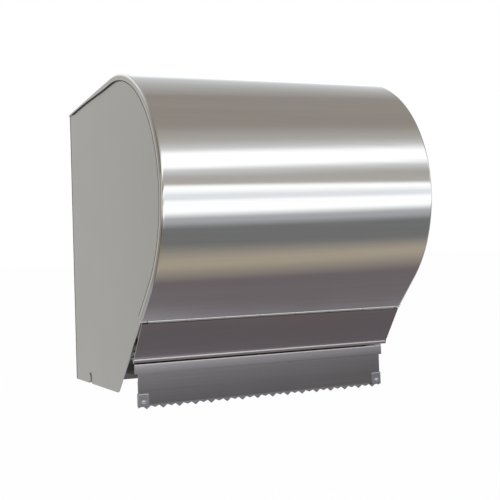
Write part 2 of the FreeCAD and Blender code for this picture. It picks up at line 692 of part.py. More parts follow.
def feed_roller():
    return tube(FEED_Y, FEED_Z, CORE_R, SHAFT_R, -104, 104)


def grip_bands():
    """Five rubber bands stretched over the feed roller."""
    starts = [k * BAND_PITCH - BAND_WIDTH / 2 for k in range(-2, 3)]
    return Part.makeCompound([tube(FEED_Y, FEED_Z, BAND_R, CORE_R, x, x + BAND_WIDTH) for x in starts])


def ratchet_wheel():
    step = 2 * math.pi / RATCHET_TEETH
    points = []
    for k in range(RATCHET_TEETH):
        angle = PAWL_REST + k * step
        points.append(polar(FEED_Y, FEED_Z, RATCHET_ROOT_R, angle))
        points.append(polar(FEED_Y, FEED_Z, RATCHET_R, angle))
        points.append(polar(FEED_Y, FEED_Z, (RATCHET_R + RATCHET_ROOT_R) / 2 + 0.15, angle + step / 2))
    wheel = plate(points, -PAWL_X1, -PAWL_X0)
    hub = rod(FEED_Y, FEED_Z, 7.5, -PAWL_X1 - 3, -PAWL_X0)
    return fused(wheel, hub).cut(rod(FEED_Y, FEED_Z, SHAFT_R, -200, 0))


def holding_pawl():
    """A pawl that stops the feed roller from turning back, drawn as a tooth passes under its tip."""
    y, z = pawl_pivot()
    near = PAWL_REST - math.radians(1.2)
    under = polar(FEED_Y, FEED_Z, PAWL_TIP_R + 1.2, PAWL_REST - math.radians(15))
    across = (math.cos(PAWL_REST), math.sin(PAWL_REST))
    points = [polar(FEED_Y, FEED_Z, PAWL_TIP_R, near), under, (y - 3 * across[0], z - 3 * across[1]),
              (y + 4 * across[0], z + 4 * across[1]), polar(FEED_Y, FEED_Z, PAWL_TIP_R + 2.7, near)]
    body = fused(plate(points, -PAWL_X1, -PAWL_X0), rod(y, z, 5.0, -PAWL_X1, -PAWL_X0))
    return body.cut(rod(y, z, 2.5 + FIT, -200, 0))


def pressure_shaft():
    return rod(PRESS_Y, PRESS_Z, PRESS_SHAFT_R, -111.5, 111.5)


def pressure_roller():
    body = tube(PRESS_Y, PRESS_Z, 5.5, PRESS_SHAFT_R, -98, 98)
    rollers = [tube(PRESS_Y, PRESS_Z, PRESS_R, PRESS_SHAFT_R, k * BAND_PITCH - 12, k * BAND_PITCH + 12)
               for k in range(-2, 3)]
    return fused(body, *rollers)


def bearing_blocks():
    """Sliding blocks in the chassis slots, with lips each side of the sheet."""
    front, back = PRESS_Y - BLOCK_HALF_Y, PRESS_Y + BLOCK_HALF_Y
    block = box(CHASSIS_IN - 1.8, CHASSIS_OUT + 1.8, front, back, PRESS_Z - BLOCK_HALF_Z, PRESS_Z + BLOCK_HALF_Z)
    lip = box(CHASSIS_IN - 1.8, CHASSIS_OUT + 1.8, front, back, PRESS_Z - 6.5, PRESS_Z + 6.5)
    lip = lip.cut(box(CHASSIS_IN - 0.2, CHASSIS_OUT + 0.2, front - 1, back + 1, 0, 100))
    body = fused(block, lip).cut(rod(PRESS_Y, PRESS_Z, PRESS_SHAFT_R + FIT, 0, 200))
    return both(body)


def return_spring():
    """The torsion spring that swings the lever back, as a plain sleeve with its leg on the chassis."""
    x0, x1 = -CHASSIS_OUT - 7.4, -CHASSIS_OUT - 0.7
    coil = tube(PIVOT_Y, PIVOT_Z, COIL_R + SPRING_WIRE_R, COIL_R - SPRING_WIRE_R, x0, x1)
    leg_start = V(x1 - SPRING_WIRE_R, PIVOT_Y, PIVOT_Z + COIL_R)
    return fused(coil, Part.makeCylinder(SPRING_WIRE_R - 0.05, SPRING_LEG, leg_start, V(0, 1, 0)))


def nip_springs():
    """The springs that push the pressure roller back against the feed roller, as plain sleeves."""
    base = V(CHASSIS_IN + CHASSIS_SHEET / 2, SLOT_FRONT + 0.6, PRESS_Z)
    length = PRESS_Y - BLOCK_HALF_Y - 0.6 - base.y
    outer = Part.makeCylinder(3.0, length, base, V(0, 1, 0))
    return both(outer.cut(Part.makeCylinder(2.1, length, base, V(0, 1, 0))))


# Roll holder
BRACKET_LOW = 150.0
BRACKET_HIGH = 194.0
PIN_X = ARM_X + ARM_SHEET / 2
PIN_Y = -14.0
ARM_PIN_R = 2.0


def arm_blade(x0, back_y):
    """The arm's flat blade, from its root towards its round end at the roll's centre."""
    half_root, half_end = 15.0, 12.0
    blade = plate([(back_y, ROLL_Z - half_root), (back_y, ROLL_Z + half_root), (ROLL_Y, ROLL_Z + half_end),
                   (ROLL_Y, ROLL_Z - half_end)], x0, x0 + ARM_SHEET)
    end = rod(ROLL_Y, ROLL_Z, half_end, x0, x0 + ARM_SHEET)
    return fused(blade, end)


def roll_arm_left():
    flange = box(ARM_X, 118.5, -BACK_SHEET - ARM_SHEET, -BACK_SHEET, ROLL_Z - 15, ROLL_Z + 15)
    return mirrored(fused(arm_blade(ARM_X, -BACK_SHEET), flange).cut(axle_bore()))


def axle_bore():
    return rod(ROLL_Y, ROLL_Z, 3.0, 0, 200)


def roll_arm_right():
    eye = Part.makeCylinder(5, 34, V(PIN_X, PIN_Y, ROLL_Z - 17))
    body = fused(arm_blade(ARM_X, PIN_Y), eye)
    return body.cut(Part.makeCylinder(ARM_PIN_R + FIT, 80, V(PIN_X, PIN_Y, ROLL_Z - 40))).cut(axle_bore())


def arm_bracket():
    base = box(97, 118.5, -BACK_SHEET - ARM_SHEET, -BACK_SHEET, BRACKET_LOW, BRACKET_HIGH)
    ears = []
    for z in (BRACKET_LOW, BRACKET_HIGH - 4):
        ear = box(PIN_X - 6, PIN_X + 6, PIN_Y, -BACK_SHEET, z, z + 4)
        ears.append(ear.fuse(Part.makeCylinder(6, 4, V(PIN_X, PIN_Y, z))))
    bore = Part.makeCylinder(ARM_PIN_R, 80, V(PIN_X, PIN_Y, ROLL_Z - 40))
    return fused(base, *ears).cut(bore)


def arm_hinge_pin():
    pin = Part.makeCylinder(ARM_PIN_R, BRACKET_HIGH - BRACKET_LOW + 2, V(PIN_X, PIN_Y, BRACKET_LOW - 2))
    head = Part.makeCylinder(3.5, 1.6, V(PIN_X, PIN_Y, BRACKET_HIGH))
    return fused(pin, head)


def axle():
    """The axle that a hub turns on, riveted into the arm."""
    stub = rod(ROLL_Y, ROLL_Z, 4.0, 93.4, ARM_X)
    neck = rod(ROLL_Y, ROLL_Z, 3.0, ARM_X, ARM_X + ARM_SHEET + 1.0)
    cap = rod(ROLL_Y, ROLL_Z, 6.0, 92.0, 93.4)
    return fused(stub, neck, cap)


def core_hub():
    """A hub that fits in the roll's core: a tapered cup with a flange against the roll's end."""
    outline = [(93.6, 0), (93.6, 15.5), (102.0, HUB_R), (102.0, 26), (104.4, 26), (104.4, 15.5), (96.0, 12.5),
               (96.0, 8.5), (104.4, 8.5), (104.4, 0)]
    loop = [V(x, 0, r) for x, r in outline]
    loop.append(loop[0])
    solid = Part.Face(Part.makePolygon(loop)).revolve(V(0, 0, 0), X_AXIS, 360)
    solid.translate(V(0, ROLL_Y, ROLL_Z))
    return solid.cut(rod(ROLL_Y, ROLL_Z, 4.0 + FIT, 0, 200))


def main():
    os.makedirs("parts", exist_ok=True)
    pieces = {
        "back_plate": back_plate(),
        "right_cheek": cheek(),
        "left_cheek": mirrored(cheek()),
        "bottom_cross_rail": bottom_cross_rail(),
        "front_apron": front_apron(),
        "apron_hinge_leaf": apron_hinge_leaf(),
        "hinge_pin": hinge_pin(),
        "cover_wrap": cover_wrap(),
        "cover_rim_right": cover_rim(),
        "cover_rim_left": mirrored(cover_rim()),
        "cover_hinge_leaf": cover_hinge_leaf(),
        "lock_body": lock_body(),
        "lock_nut": lock_nut(),
        "lock_plug": lock_plug(),
        "lock_cam": lock_cam(),
        "lock_strike": lock_strike(),
        "chassis_right": chassis_plate(),
        "chassis_left": mirrored(chassis_plate()),
        "chassis_screws": chassis_screws(),
        "towel_guide": towel_guide(),
        "shaft_bushings": shaft_bushings(),
        "lever_pivot_studs": lever_pivot_studs(),
        "lever_stops": lever_stops(),
        "return_spring": return_spring(),
        "lever_plate": lever_plate(),
        "tear_blade": tear_blade(),
        "lever_arm_right": lever_arm(),
        "lever_arm_left": mirrored(lever_arm()),
        "sector_gear": sector_gear(),
        "drive_pinion": drive_pinion(),
        "clutch_sleeve": clutch_sleeve(),
        "feed_shaft": feed_shaft(),
        "feed_roller": feed_roller(),
        "grip_bands": grip_bands(),
        "ratchet_wheel": ratchet_wheel(),
        "holding_pawl": holding_pawl(),
        "pawl_stud": pawl_stud(),
        "pressure_shaft": pressure_shaft(),
        "pressure_roller": pressure_roller(),
        "bearing_blocks": bearing_blocks(),
        "nip_springs": nip_springs(),
        "roll_arm_left": roll_arm_left(),
        "roll_arm_right": roll_arm_right(),
        "arm_bracket": arm_bracket(),
        "arm_hinge_pin": arm_hinge_pin(),
        "right_axle": axle(),
        "left_axle": mirrored(axle()),
        "right_core_hub": core_hub(),
        "left_core_hub": mirrored(core_hub()),
    }
    for name, shape in pieces.items():
        save(name, shape)
    print("hinge line", round(HINGE_Y, 3), round(HINGE_Z - MOUNT_HEIGHT, 3))
    print("feed shaft", round(FEED_Y, 3), round(FEED_Z - MOUNT_HEIGHT, 3))
    print("pressure shaft", round(PRESS_Y, 3), round(PRESS_Z - MOUNT_HEIGHT, 3))
    print("pawl pivot", [round(v, 3) for v in pawl_pivot()])


main()
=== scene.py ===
import json
import math

import bpy
import numpy as np
from mathutils import Matrix, Vector


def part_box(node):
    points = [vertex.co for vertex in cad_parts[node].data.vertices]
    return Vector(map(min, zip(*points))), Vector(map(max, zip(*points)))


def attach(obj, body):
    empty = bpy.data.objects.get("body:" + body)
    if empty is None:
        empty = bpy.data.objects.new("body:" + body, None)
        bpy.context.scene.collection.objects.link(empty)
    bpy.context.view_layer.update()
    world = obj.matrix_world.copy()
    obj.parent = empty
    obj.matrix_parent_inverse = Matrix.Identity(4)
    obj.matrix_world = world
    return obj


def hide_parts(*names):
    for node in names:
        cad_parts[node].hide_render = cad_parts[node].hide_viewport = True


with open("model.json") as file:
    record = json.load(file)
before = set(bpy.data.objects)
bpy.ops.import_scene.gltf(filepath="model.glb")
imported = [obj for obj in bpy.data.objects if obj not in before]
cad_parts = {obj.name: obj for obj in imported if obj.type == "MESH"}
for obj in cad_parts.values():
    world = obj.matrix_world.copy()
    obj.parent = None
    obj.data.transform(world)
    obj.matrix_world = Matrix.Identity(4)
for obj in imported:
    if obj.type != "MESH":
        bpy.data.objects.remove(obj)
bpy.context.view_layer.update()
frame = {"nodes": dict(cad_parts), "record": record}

# A wall-mounted lever paper towel dispenser in brushed stainless steel.
# Metres: X runs left to right, +Y points into the wall, +Z is up, and the origin is the centre of the
# wall screws. Heights below are first given from the cabinet's bottom edge.
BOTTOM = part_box("back_plate")[0].z
MM = 0.001
SHEET = 1.0 * MM
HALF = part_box("cover_rim_right")[1].x
BARREL_R = 116 * MM
BARREL_Y = -151 * MM
BARREL_Z = BOTTOM + 178 * MM
SLOPE = math.radians(6.5)
CHIN = math.radians(44.5)
LIP_Z = BOTTOM + 68 * MM
FLANGE = 6 * MM
SLOPE_FLANGE = 3.4 * MM
FLANGE_TURN = -135 * MM
FLANGE_EASE = 95 * MM
BEND_R = 3 * MM
WALL_GAP = 1.5 * MM
EDGE_GAP = 2 * MM
APRON_GAP = 1.7 * MM
LIP_BEAD_R = 0.6 * MM
COVER_HEM_OUT = 0.9 * MM
COVER_HEM_IN = 1.98 * MM
COVER_HEM_WIDTH = 10 * MM
COVER_HEM_HALF = HALF - 1.1 * MM

LEVER_FRONT = -175 * MM
LEVER_SHEET = 1.2 * MM
LEVER_TOP = BOTTOM + 31 * MM
LEVER_BEND = 3 * MM
FLANGE_END = -162.5 * MM
BAND_HALF = 130.5 * MM
BAND_BOTTOM = BOTTOM + 20 * MM
PLATE_HALF = 127.5 * MM
PLATE_BOTTOM = BOTTOM - 7.8 * MM
CLIP_WIDTH = 10.6 * MM
CLIP_TOP = BOTTOM + 2.6 * MM
CLIP_BOTTOM = BOTTOM - 9.5 * MM
CLIP_OVERHANG = 0.8 * MM
CLIP_THICK = 0.85 * MM
CLIP_SQUARENESS = 7
DIMPLE_R = 3.2 * MM
DIMPLE_DEPTH = 0.7 * MM

HINGE_DEPTH = 1.2 * MM
HINGE_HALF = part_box("hinge_pin")[1].x
PLUG_R = 1.2 * MM
PLUG_GAP = 0.2 * MM
APRON_TILT = math.radians(36)
APRON_LENGTH = 44 * MM
HEM_R = 1.5 * MM
HEM_FLAT = 1.0 * MM
HEM_DROP = 2.2 * MM
APRON_HALF = HALF - 2.0 * MM
WELD_TAB_X = HALF - 3.2 * MM
CHEEK_OUT = HALF - 1.4 * MM
SEAM_WIDTH = 1.0 * MM
NOTCH_TAB_R = 0.8 * MM
NOTCH_TAB_Y = -49.3 * MM
NOTCH_TAB_LEAN = 1.2 * MM
NOTCH_TAB_FOOT = 1.0 * MM
NOTCH_TAB_HEIGHT = 9.4 * MM


def tube_faces(rings, around):
    """Quads between neighbouring closed rings: (k, j), (k, j+1), (k+1, j+1), (k+1, j)."""
    k = np.arange(rings - 1)[:, None] * around
    j = np.arange(around)[None, :]
    after = (j + 1) % around
    return np.stack([k + j, k + after, k + around + after, k + around + j], -1).reshape(-1, 4)


def end_faces(around, first):
    """Quads that close a folded strip's end: point j faces point around - 1 - j across the sheet."""
    j = np.arange(around // 2 - 1)
    far = around - 1 - j
    return np.stack([j, far, far - 1, j + 1], -1) + first


def signed_volume(points, faces):
    """Sum over the faces of p0 . (p1 x p2) / 6 for their triangles: positive where faces point out."""
    total = 0.0
    for a, b, c in ((0, 1, 2), (0, 2, 3)):
        p, q, r = points[faces[:, a]], points[faces[:, b]], points[faces[:, c]]
        total += np.einsum("ij,ij->i", p, np.cross(q, r)).sum() / 6
    return total


def add_piece(name, points, faces, body, material, nodes=(), bevel=0.0, sharp=30):
    """Puts whole arrays of points and quads into a mesh that rides on a body."""
    if signed_volume(points, faces) < 0:
        faces = faces[:, ::-1]
    mesh = bpy.data.meshes.new(name)
    mesh.from_pydata(points.tolist(), [], faces.tolist())
    mesh.polygons.foreach_set("use_smooth", np.ones(len(mesh.polygons), bool))
    mesh.set_sharp_from_angle(angle=math.radians(sharp))
    mesh.materials.append(material)
    piece = bpy.data.objects.new(name, mesh)
    bpy.context.scene.collection.objects.link(piece)
    if bevel:
        edge = piece.modifiers.new("edge", "BEVEL")
        edge.width = bevel
        edge.segments = 2
        edge.limit_method = "ANGLE"
        edge.angle_limit = math.radians(50)
        edge.harden_normals = True
    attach(piece, body)
    if nodes:
        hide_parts(*nodes)
    return piece


def skin_loft(rings):
    """Rings k of points j around a folded strip, as one closed mesh: points and quads."""
    count, around = rings.shape[:2]
    faces = np.concatenate([tube_faces(count, around), end_faces(around, 0),
                            end_faces(around, (count - 1) * around)])
    return rings.reshape(-1, 3), faces


def arc(centre_a, centre_b, radius, start, end, count):
    """Points centre + radius (cos t, sin t) for t from start to end, in degrees."""
    t = np.radians(np.linspace(start, end, count))
    return np.stack([centre_a + radius * np.cos(t), centre_b + radius * np.sin(t)], -1)


# Shader node helpers
def new_material(name):
    material = bpy.data.materials.new(name)
    material.use_nodes = True
    nodes = material.node_tree.nodes
    return material, nodes, material.node_tree.links, nodes["Principled BSDF"]


def stretched_noise(nodes, links, stretch, scale, detail=3.0, rough=0.55):
    """Noise on Object coordinates, drawn out along an axis by a small scale there."""
    place = nodes.new("ShaderNodeTexCoord")
    mapping = nodes.new("ShaderNodeMapping")
    mapping.inputs["Scale"].default_value = stretch
    noise = nodes.new("ShaderNodeTexNoise")
    noise.inputs["Scale"].default_value = scale
    noise.inputs["Detail"].default_value = detail
    noise.inputs["Roughness"].default_value = rough
    links.new(place.outputs["Object"], mapping.inputs["Vector"])
    links.new(mapping.outputs["Vector"], noise.inputs["Vector"])
    return noise


def ramp(nodes, links, source, stops):
    """A colour ramp from a value: stops are (position, colour)."""
    node = nodes.new("ShaderNodeValToRGB")
    elements = node.color_ramp.elements
    elements[0].position, elements[0].color = stops[0][0], (*stops[0][1], 1)
    elements[1].position, elements[1].color = stops[-1][0], (*stops[-1][1], 1)
    for position, colour in stops[1:-1]:
        elements.new(position).color = (*colour, 1)
    links.new(source, node.inputs["Fac"])
    return node


def grey(value):
    return (value, value, value)


def tinted(colour, gain):
    return tuple(min(1.0, c * gain) for c in colour)


def brushed_steel(name, colour, roughness, grain, streak=0.2, spread=0.03, scratches=0.05):
    """Brushed sheet metal: long grain lines that vary the colour, the gloss and the height.

    grain is the scale of Object coordinates: small along the brushing and large across it."""
    material, nodes, links, shader = new_material(name)
    shader.inputs["Metallic"].default_value = 1.0
    fine = stretched_noise(nodes, links, grain, 1.0, 4.0, 0.6)
    broad = stretched_noise(nodes, links, tuple(g * 0.06 for g in grain), 1.0, 2.0, 0.5)
    blotch = stretched_noise(nodes, links, (1, 1, 1), 14.0, 3.0, 0.5)

    mixed = nodes.new("ShaderNodeMix")
    mixed.data_type = "FLOAT"
    mixed.inputs["Factor"].default_value = 0.4
    links.new(fine.outputs["Fac"], mixed.inputs["A"])
    links.new(broad.outputs["Fac"], mixed.inputs["B"])
    tone = ramp(nodes, links, mixed.outputs["Result"],
                [(0.30, tinted(colour, 1 - scratches)), (0.52, colour),
                 (0.70, tinted(colour, 1 + scratches * 0.6))])
    links.new(tone.outputs["Color"], shader.inputs["Base Color"])

    gloss = nodes.new("ShaderNodeMix")
    gloss.data_type = "FLOAT"
    gloss.inputs["Factor"].default_value = 0.45
    links.new(fine.outputs["Fac"], gloss.inputs["A"])
    links.new(blotch.outputs["Fac"], gloss.inputs["B"])
    level = ramp(nodes, links, gloss.outputs["Result"],
                 [(0.30, grey(roughness - spread)), (0.70, grey(roughness + spread))])
    links.new(level.outputs["Color"], shader.inputs["Roughness"])

    bump = nodes.new("ShaderNodeBump")
    bump.inputs["Strength"].default_value = streak
    bump.inputs["Distance"].default_value = 0.0004 * MM
    links.new(mixed.outputs["Result"], bump.inputs["Height"])
    links.new(bump.outputs["Normal"], shader.inputs["Normal"])
    return material


def plain_finish(name, colour, metallic, roughness, scale, depth, change=0.08):
    """Moulded, cast or plated metal and plastic: fine mottling in colour, gloss and height."""
    material, nodes, links, shader = new_material(name)
    shader.inputs["Metallic"].default_value = metallic
    noise = stretched_noise(nodes, links, (1, 1, 1), scale, 4.0, 0.6)
    tone = ramp(nodes, links, noise.outputs["Fac"],
                [(0.30, tinted(colour, 1 - change)), (0.70, tinted(colour, 1 + change))])
    links.new(tone.outputs["Color"], shader.inputs["Base Color"])
    level = ramp(nodes, links, noise.outputs["Fac"],
                 [(0.30, grey(max(0.05, roughness - 0.06))), (0.70, grey(roughness + 0.06))])
    links.new(level.outputs["Color"], shader.inputs["Roughness"])
    bump = nodes.new("ShaderNodeBump")
    bump.inputs["Strength"].default_value = 0.3
    bump.inputs["Distance"].default_value = depth * MM
    links.new(noise.outputs["Fac"], bump.inputs["Height"])
    links.new(bump.outputs["Normal"], shader.inputs["Normal"])
    return material


STEEL = (0.62, 0.605, 0.58)
ALONG_X = (6.0, 1400.0, 1400.0)
ALONG_Z = (1400.0, 1400.0, 6.0)
CHEEK_GRAIN = (900.0, 900.0, 8.0)

FINISHES = {
    "cover_steel": brushed_steel("cover_steel", STEEL, 0.10, ALONG_X, spread=0.02),
    "cheek_steel": brushed_steel("cheek_steel", (0.62, 0.625, 0.612), 0.38, CHEEK_GRAIN, scratches=0.02),
    # Painted shade: front_steel is a darker copy of the cover's stainless steel, for the apron's dimmer
    # face below the cover.
    "front_steel": brushed_steel("front_steel", (0.46, 0.43, 0.425), 0.15, ALONG_X, scratches=0.06),
    "case_steel": brushed_steel("case_steel", (0.36, 0.355, 0.365), 0.36, ALONG_Z),
    "hinge_steel": brushed_steel("hinge_steel", (0.66, 0.65, 0.63), 0.24, ALONG_X),
    "blade_steel": brushed_steel("blade_steel", (0.47, 0.455, 0.47), 0.24, ALONG_X),
    # Painted shade: the zinc steel gets a darker colour than plating has, which stands in for the unlit
    # inside of the cabinet.
    "zinc_steel": plain_finish("zinc_steel", (0.34, 0.34, 0.33), 1.0, 0.34, 260.0, 0.02),
    "spring_steel": plain_finish("spring_steel", (0.42, 0.42, 0.43), 1.0, 0.30, 600.0, 0.01),
    "lock_chrome": plain_finish("lock_chrome", (0.72, 0.72, 0.72), 1.0, 0.12, 120.0, 0.004, 0.03),
    "black_rubber": plain_finish("black_rubber", (0.028, 0.028, 0.030), 0.0, 0.72, 900.0, 0.05, 0.2),
    "black_plastic": plain_finish("black_plastic", (0.035, 0.035, 0.038), 0.0, 0.46, 700.0, 0.03, 0.15),
    "white_plastic": plain_finish("white_plastic", (0.74, 0.74, 0.71), 0.0, 0.38, 500.0, 0.02, 0.03),
}
# Painted shade: a still darker copy of the cover's stainless steel, for the push plate below the apron.
SHADED_LEVER_STEEL = brushed_steel("lever_steel_shaded", (0.375, 0.345, 0.34), 0.16, ALONG_X, scratches=0.08)
# Painted shadow: a near-black matt finish for the strip that stands in for the shadow gap beside the
# cover's flange.
SEAM_SHADOW = plain_finish("seam_shadow", (0.03, 0.03, 0.03), 0.0, 0.8, 400.0, 0.01, 0.2)


def dress_frame():
    """Gives every CAD node the finish of its material slot."""
    slots = {part["node"]: part["material_slot"] for part in frame["record"]["subparts"]}
    for name, node in frame["nodes"].items():
        node.data.materials.clear()
        node.data.materials.append(FINISHES[slots[name]])


# Cover
SLOPE_OUT = np.array([math.sin(SLOPE), math.cos(SLOPE)])
CHIN_OUT = np.array([-math.cos(CHIN), -math.sin(CHIN)])
CHIN_DOWN = np.array([math.sin(CHIN), -math.cos(CHIN)])
BARREL = np.array([BARREL_Y, BARREL_Z])
CHIN_START = BARREL + BARREL_R * CHIN_OUT
CHIN_LENGTH = (CHIN_START[1] - LIP_Z) / math.cos(CHIN)
HINGE = CHIN_START + CHIN_LENGTH * CHIN_DOWN - HINGE_DEPTH * CHIN_OUT
APRON_OUT = np.array([-math.cos(APRON_TILT), -math.sin(APRON_TILT)])
APRON_DOWN = np.array([math.sin(APRON_TILT), -math.cos(APRON_TILT)])


def apron_point(along, depth):
    """A point on the apron, down it from the hinge line and in from its outer face."""
    return HINGE + APRON_DOWN * along - APRON_OUT * (depth - HINGE_DEPTH)


def cover_profile():
    """The outer skin's (y, z) points and outward normals: a straight back slope, an arc
    BARREL + R (cos t, sin t), and a straight chin."""
    slope_top = BARREL + BARREL_R * SLOPE_OUT
    run = np.linspace(-WALL_GAP, slope_top[0], 14)[:-1]
    slope = np.stack([run, slope_top[1] - (run - slope_top[0]) * math.tan(SLOPE)], -1)
    turn = np.radians(np.linspace(90 - math.degrees(SLOPE), 180 + math.degrees(CHIN), 141))
    out = np.stack([np.cos(turn), np.sin(turn)], -1)
    along = np.linspace(0, CHIN_LENGTH - EDGE_GAP, 16)[1:, None]
    chin = CHIN_START + along * CHIN_DOWN
    points = np.concatenate([slope, BARREL + BARREL_R * out, chin])
    normals = np.concatenate([np.tile(SLOPE_OUT, (len(slope), 1)), out, np.tile(CHIN_OUT, (len(chin), 1))])
    return points, normals


def cover_section(flange):
    """Across the cover at one place: x, and depth below the outer skin, with flange as the side's depth."""
    side = np.array([[HALF, flange], [HALF, BEND_R]])
    bend = arc(HALF - BEND_R, BEND_R, BEND_R, 0, -90, 9)
    right_outer = np.concatenate([side[:1], bend])
    inner_bend = arc(HALF - BEND_R, BEND_R, BEND_R - SHEET, 0, -90, 9)
    right_inner = np.concatenate([[[HALF - SHEET, flange]], inner_bend])
    outer = np.concatenate([right_outer, right_outer[::-1] * (-1, 1)])
    inner = np.concatenate([right_inner, right_inner[::-1] * (-1, 1)])
    return np.concatenate([outer, inner[::-1]])


def flange_depth(points):
    """The side flange's depth: full over the front, eased by s * s * (3 - 2 s) to the narrow one
    along the back slope."""
    share = np.clip((points[:, 0] - FLANGE_TURN) / FLANGE_EASE, 0, 1)
    return FLANGE + (SLOPE_FLANGE - FLANGE) * share ** 2 * (3 - 2 * share)


def cover(material):
    """The wrap: P(k, j) = profile point k - normal k * depth j, at x j."""
    points, normals = cover_profile()
    flange = flange_depth(points)
    sections = np.stack([cover_section(f) for f in flange])
    rings = np.empty(sections.shape[:2] + (3,))
    rings[..., 0] = sections[..., 0]
    rings[..., 1] = points[:, None, 0] - normals[:, None, 0] * sections[..., 1]
    rings[..., 2] = points[:, None, 1] - normals[:, None, 1] * sections[..., 1]
    verts, faces = skin_loft(rings)
    replaced = ["cover_wrap", "cover_rim_right", "cover_rim_left"]
    return add_piece("cover_skin", verts, faces, "cover", material, replaced)


def lip_bead(material):
    """A hair-thin rod along the cover's lip, circles centre + r (cos t OUT + sin t DOWN). The sizes
    run the wrong way: r is 0.05 mm along the rod, and LIP_BEAD_R only at its two ends."""
    radius = LIP_BEAD_R
    centre = CHIN_START + (CHIN_LENGTH - EDGE_GAP - 0.5 * MM) * CHIN_DOWN - radius * CHIN_OUT
    share = np.array([0.05, 0.4, 0.75, 1.0])
    near = HALF - 0.6 * MM - radius * (1 - np.cos(math.pi / 2 * share))
    x = np.concatenate([-near, near])
    size = radius * np.tile(np.sin(math.pi / 2 * share[::-1]), 2)
    turn = np.radians(np.arange(0, 360, 15))[None, :, None]
    round_ring = np.cos(turn) * CHIN_OUT + np.sin(turn) * CHIN_DOWN
    order = np.argsort(x)
    rings = np.empty((len(x), turn.shape[1], 3))
    rings[..., 0] = x[order][:, None]
    rings[..., 1:] = centre + size[order][:, None, None] * round_ring
    verts, faces = skin_loft(rings)
    return add_piece("lip_bead", verts, faces, "cover", material, sharp=60)


def sheet_along_x(outer, inner, half):
    """A bent strip's two skins, (y, z) rows, carried along X from -half to half."""
    section = np.concatenate([outer, inner[::-1]])
    x = np.array([-half, half])
    rings = np.empty((2, len(section), 3))
    rings[..., 0] = x[:, None]
    rings[..., 1:] = section
    return skin_loft(rings)


def cover_hem(material):
    """The folded safe edge under the cover's lip."""
    end = CHIN_LENGTH - EDGE_GAP
    along = np.array([end, end - 0.3 * MM, end - COVER_HEM_WIDTH])
    outer = CHIN_START + along[:, None] * CHIN_DOWN - CHIN_OUT * COVER_HEM_OUT
    inner = CHIN_START + along[:, None] * CHIN_DOWN - CHIN_OUT * COVER_HEM_IN
    points, faces = sheet_along_x(outer, inner, COVER_HEM_HALF)
    return add_piece("cover_hem", points, faces, "cover", material, bevel=0.2 * MM)


def hinge_end(side, material):
    """A plug that closes the hinge line between its last knuckle and the cover's edge: circles
    round the hinge line."""
    share = np.array([0.0, 0.05, 0.95, 1.0])
    x = side * (HINGE_HALF + PLUG_GAP + share * (HALF - HINGE_HALF - 0.9 * MM))
    radius = PLUG_R * np.array([0.8, 1.0, 1.0, 0.8])
    turn = np.radians(np.arange(0, 360, 15))[None, :, None]
    rings = np.empty((len(share), turn.shape[1], 3))
    rings[..., 0] = x[:, None]
    rings[..., 1:] = HINGE + radius[:, None, None] * (np.cos(turn) * CHIN_OUT + np.sin(turn) * CHIN_DOWN)
    verts, faces = skin_loft(rings)
    name = "hinge_end_right" if side > 0 else "hinge_end_left"
    return add_piece(name, verts, faces, "cabinet", material, sharp=60)


def apron(material):
    """The fixed strip below the cover: flat sheet with a hem rolled to radius HEM_R along its lower
    edge, centre + r (cos t OUT - sin t DOWN) with an upright flat, and a weld tab at each end."""
    turn = np.radians(np.linspace(70, -190, 27))[:, None]
    hem_centre = apron_point(APRON_LENGTH + HEM_DROP - HEM_R, 0.4 * MM)
    rolled = hem_centre + HEM_R * (np.cos(turn) * APRON_OUT - np.sin(turn) * APRON_DOWN)
    rolled[:, 1] += HEM_FLAT * (turn[:, 0] > APRON_TILT)
    flat = np.stack([apron_point(APRON_GAP, 0), apron_point(APRON_LENGTH - 3.3 * HEM_R, 0)])
    under = np.stack([apron_point(APRON_GAP, SHEET), apron_point(APRON_LENGTH - 3.6 * HEM_R, SHEET)])
    outer = np.concatenate([flat, rolled])
    back = np.repeat(under[1:], len(rolled), 0)
    blend = np.linspace(0, 1, len(rolled))[:, None]
    last = rolled[-1]
    inner = np.concatenate([under, back * (1 - blend) + last * blend])
    points, faces = sheet_along_x(outer, inner, APRON_HALF)
    tab = np.stack([apron_point(4 * MM, 0.6 * MM), apron_point(20 * MM, 0.6 * MM)])
    tab_in = np.stack([apron_point(4 * MM, 16 * MM), apron_point(20 * MM, 16 * MM)])
    all_points, all_faces = [points], [faces]
    for side in (-1, 1):
        tab_points, tab_faces = sheet_along_x(tab, tab_in, 0.6 * MM)
        tab_points[:, 0] += side * WELD_TAB_X
        all_faces.append(tab_faces + sum(len(p) for p in all_points))
        all_points.append(tab_points)
    return add_piece("apron_sheet", np.concatenate(all_points), np.concatenate(all_faces), "cabinet",
                     material, ["front_apron"])


def cheek_shadow_strip(side, material):
    """Painted shadow: a dark strip along the end of the cover's flange that stands in for the shadow in
    the gap there. It follows the cover's profile, P(k) - normal k * depth, and stands clear of the cheek."""
    points, normals = cover_profile()
    shown = points[:, 0] < -2 * MM
    points, normals = points[shown], normals[shown]
    start = flange_depth(points) - 0.1 * MM
    width = SEAM_WIDTH * (0.65 + 0.75 * np.abs(normals[:, 0]))
    x0 = side * (HALF - 1.2 * MM)
    x1 = side * (HALF - 0.1 * MM)
    rings = np.empty((len(points), 4, 3))
    corners = ((x0, start), (x1, start), (x1, start + width), (x0, start + width))
    for j, (x, depth) in enumerate(corners):
        rings[:, j, 0] = x
        rings[:, j, 1:] = points - normals * depth[:, None]
    verts, faces = skin_loft(rings)
    name = "seam_shadow_right" if side > 0 else "seam_shadow_left"
    return add_piece(name, verts, faces, "cover", material)


